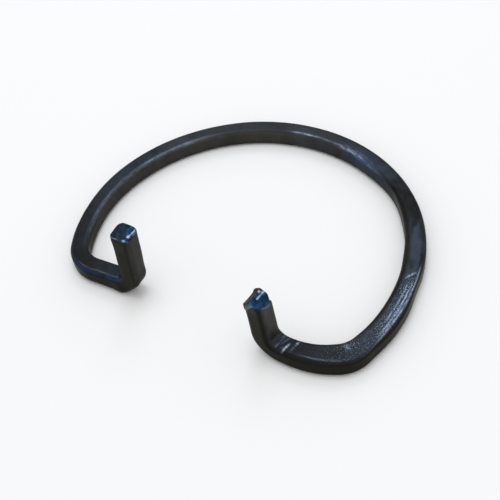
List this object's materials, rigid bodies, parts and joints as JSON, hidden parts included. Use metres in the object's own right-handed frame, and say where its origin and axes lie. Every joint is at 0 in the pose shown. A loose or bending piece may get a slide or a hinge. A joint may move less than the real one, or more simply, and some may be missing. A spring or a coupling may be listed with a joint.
{
  "type": "snap ring",
  "caption": "Open snap ring of square spring wire with inward legs and upturned plier tangs, the right tang broken short.",
  "frame": {"origin": "centre of the round part, at half the wire's height", "axes": "+Z along the ring's axis, the way the tangs stand; +X to the right across the ring; the mouth opens towards -Y"},
  "size_m": [0.0895, 0.0715, 0.0217],
  "materials": {
    "black_spring_steel": "black oxide over spring steel, oiled satin, worn brighter along its edges and on the front right"
  },
  "bodies": {
    "root": {"snap_ring": "black_spring_steel"}
  },
  "joints": []
}
